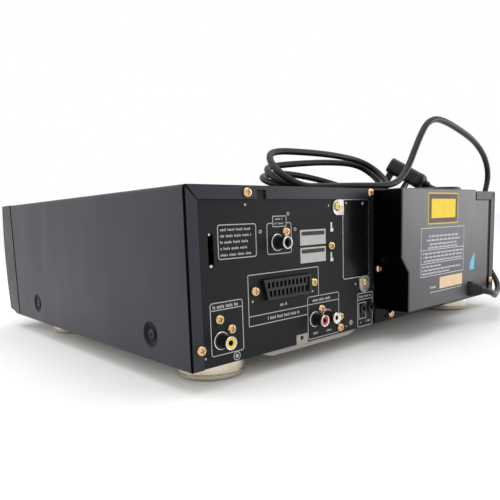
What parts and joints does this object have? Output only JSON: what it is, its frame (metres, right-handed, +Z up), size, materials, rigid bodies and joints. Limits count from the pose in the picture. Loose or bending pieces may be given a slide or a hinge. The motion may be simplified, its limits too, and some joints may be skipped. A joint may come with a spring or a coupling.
{
  "type": "laserdisc player",
  "caption": "Large-format optical disc player: folded steel case on round feet, rear sockets, deep mechanism cover, sliding disc tray and captive mains lead.",
  "frame": {"origin": "centre of the footprint of the case at the plane the feet stand on", "axes": "+X along the width, towards the left side as seen from behind; +Y towards the back; +Z up"},
  "size_m": [0.442, 0.3856, 0.2018],
  "materials": {
    "case_steel": "satin textured paint",
    "panel_steel": "satin paint with pale printed frames",
    "cover_steel": "satin paint",
    "bare_steel": "zinc plate",
    "gold_screw": "yellow zinc plate",
    "black_screw": "black oxide",
    "foot_shell": "champagne nickel plate",
    "rubber_pad": "matt",
    "front_plastic": "fine satin",
    "window_plastic": "gloss",
    "button_plastic": "satin",
    "black_plastic": "satin",
    "gloss_black": "gloss",
    "grey_plastic": "satin",
    "yellow_plastic": "gloss",
    "red_plastic": "gloss",
    "white_plastic": "gloss",
    "jack_metal": "nickel plate",
    "circuit_board": "lacquered laminate",
    "transformer": "varnished laminations",
    "capacitor": "shrink sleeve",
    "tube_glass": "clear",
    "motor_can": "plated",
    "white_gear": "satin",
    "belt_rubber": "matt",
    "cord_vinyl": "satin",
    "pin_metal": "bright",
    "lens_glass": "coated",
    "brass_pulley": "turned"
  },
  "bodies": {
    "player": {"bonnet_cover": "case_steel", "chassis_base": "cover_steel", "front_panel": "front_plastic", "rear_panel": "panel_steel", "mechanism_rear_cover": "cover_steel", "blanking_plate": "gloss_black", "plate_clips": "bare_steel", "rear_screws": "gold_screw", "side_screws": "black_screw", "foot_shells": "foot_shell", "foot_pads": "rubber_pad", "scart_socket": "black_plastic", "jack_blocks": "black_plastic", "jack_shells": "jack_metal", "jack_screws": "gold_screw", "yellow_jack_insulator": "yellow_plastic", "red_jack_insulator": "red_plastic", "white_jack_insulator": "white_plastic", "black_jack_insulator": "black_plastic", "control_jacks": "black_plastic", "display_window": "window_plastic", "display_tube": "tube_glass", "front_board": "circuit_board", "mech_frame": "bare_steel", "tray_guides": "white_gear", "drive_belt": "belt_rubber", "loading_motor": "motor_can", "clamp_bridge": "bare_steel", "spindle_motor": "motor_can", "turn_rails": "grey_plastic", "main_board": "circuit_board", "connector_board": "circuit_board", "power_board": "circuit_board", "filter_capacitors": "capacitor", "power_transformer": "transformer", "cord_bushing": "black_plastic", "mains_lead": "cord_vinyl", "lead_hank": "cord_vinyl", "lead_tail": "cord_vinyl", "plug_body": "black_plastic", "plug_pins": "pin_metal"},
    "tray": {"disc_tray": "black_plastic", "tray_door": "front_plastic"},
    "tray_gear": {"tray_gear": "white_gear"},
    "pulley_gear": {"pulley_gear": "white_gear"},
    "motor_pulley": {"motor_pulley": "brass_pulley"},
    "turntable": {"turntable": "black_plastic"},
    "clamp_arm": {"clamp_arm": "bare_steel"},
    "clamper": {"clamper": "black_plastic"},
    "pickup": {"pickup_carriage": "grey_plastic", "feed_motor": "motor_can"},
    "pickup_lens": {"pickup_lens": "lens_glass"},
    "power_button": {"power_button": "button_plastic"},
    "open_close_button": {"open_close_button": "button_plastic"},
    "play_button": {"play_button": "button_plastic"},
    "pause_button": {"pause_button": "button_plastic"},
    "stop_button": {"stop_button": "button_plastic"},
    "skip_back_button": {"skip_back_button": "button_plastic"},
    "skip_forward_button": {"skip_forward_button": "button_plastic"},
    "side_select_button": {"side_select_button": "button_plastic"}
  },
  "joints": [
    {"name": "tray_slide", "type": "slide", "parent": "player", "child": "tray", "axis": [0, -1, 0], "range_m": [0, 0.298]},
    {"name": "tray_gear_turn", "type": "hinge", "parent": "player", "child": "tray_gear", "pos_m": [0.1232, -0.1523, 0.0678], "axis": [0, 0, 1], "range_deg": [0, 1424]},
    {"name": "pulley_gear_turn", "type": "hinge", "parent": "player", "child": "pulley_gear", "pos_m": [0.13805, -0.13745, 0.0678], "axis": [0, 0, 1], "range_deg": [-1899, 0]},
    {"name": "motor_pulley_turn", "type": "hinge", "parent": "player", "child": "motor_pulley", "pos_m": [0.16605, -0.12545, 0.0678], "axis": [0, 0, 1], "range_deg": [-7900, 0]},
    {"name": "turntable_spin", "type": "hinge", "parent": "player", "child": "turntable", "pos_m": [-0.04, -0.0222, 0.07], "axis": [0, 0, 1], "continuous": true},
    {"name": "clamp_arm_lift", "type": "hinge", "parent": "player", "child": "clamp_arm", "pos_m": [-0.04, -0.0782, 0.095], "axis": [1, 0, 0], "range_deg": [0, 4]},
    {"name": "clamper_spin", "type": "hinge", "parent": "clamp_arm", "child": "clamper", "pos_m": [-0.04, -0.0222, 0.095], "axis": [0, 0, 1], "continuous": true},
    {"name": "pickup_slide", "type": "slide", "parent": "player", "child": "pickup", "axis": [0, -1, 0], "range_m": [0, 0.118]},
    {"name": "lens_focus", "type": "slide", "parent": "pickup", "child": "pickup_lens", "axis": [0, 0, 1], "range_m": [-0.0006, 0.0006], "stiffness_N_per_m": 50},
    {"name": "power_press", "type": "slide", "parent": "player", "child": "power_button", "axis": [0, 1, 0], "range_m": [0, 0.0015], "stiffness_N_per_m": 350},
    {"name": "open_close_press", "type": "slide", "parent": "player", "child": "open_close_button", "axis": [0, 1, 0], "range_m": [0, 0.0015], "stiffness_N_per_m": 350},
    {"name": "play_press", "type": "slide", "parent": "player", "child": "play_button", "axis": [0, 1, 0], "range_m": [0, 0.0015], "stiffness_N_per_m": 350},
    {"name": "pause_press", "type": "slide", "parent": "player", "child": "pause_button", "axis": [0, 1, 0], "range_m": [0, 0.0015], "stiffness_N_per_m": 350},
    {"name": "stop_press", "type": "slide", "parent": "player", "child": "stop_button", "axis": [0, 1, 0], "range_m": [0, 0.0015], "stiffness_N_per_m": 350},
    {"name": "skip_back_press", "type": "slide", "parent": "player", "child": "skip_back_button", "axis": [0, 1, 0], "range_m": [0, 0.0015], "stiffness_N_per_m": 350},
    {"name": "skip_forward_press", "type": "slide", "parent": "player", "child": "skip_forward_button", "axis": [0, 1, 0], "range_m": [0, 0.0015], "stiffness_N_per_m": 350},
    {"name": "side_select_press", "type": "slide", "parent": "player", "child": "side_select_button", "axis": [0, 1, 0], "range_m": [0, 0.0015], "stiffness_N_per_m": 350}
  ],
  "couplings": [
    {"joint": "tray_gear_turn", "follows": "tray_slide", "rad_per_m": 83.333},
    {"joint": "pulley_gear_turn", "follows": "tray_slide", "rad_per_m": -111.11},
    {"joint": "motor_pulley_turn", "follows": "tray_slide", "rad_per_m": -461.99},
    {"joint": "clamper_spin", "follows": "turntable_spin", "ratio": 1}
  ]
}
